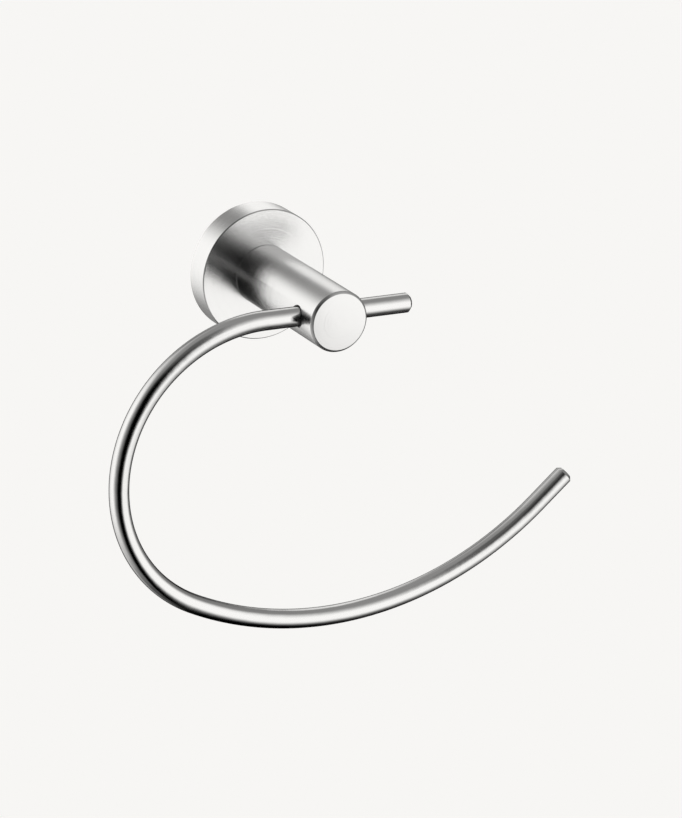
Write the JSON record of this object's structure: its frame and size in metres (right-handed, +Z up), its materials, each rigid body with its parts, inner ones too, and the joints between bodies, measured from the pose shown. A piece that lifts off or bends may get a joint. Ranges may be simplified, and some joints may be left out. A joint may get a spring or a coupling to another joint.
{
  "type": "towel ring",
  "caption": "Wall-mounted towel ring: a round rosette, a round post and a bent round rod that passes through the post and stays open at one side.",
  "frame": {"origin": "middle of the back, on the wall plane and the post's axis, midway between the two wall slots", "axes": "+Y into the wall along the post's axis, so the post stands out towards -Y; +X to the right for someone who faces the wall; +Z up"},
  "size_m": [0.2111, 0.077, 0.1624],
  "materials": {
    "satin_steel": "satin brushed stainless steel",
    "plated_steel": "dull zinc-plated steel",
    "screw_steel": "bright stainless steel"
  },
  "bodies": {
    "root": {"wall_bracket": "plated_steel", "rosette": "satin_steel", "rosette_set_screw": "screw_steel", "post": "satin_steel", "post_screw": "screw_steel", "lock_washer": "screw_steel", "ring_rod": "satin_steel", "rod_set_screw": "screw_steel"}
  },
  "joints": []
}
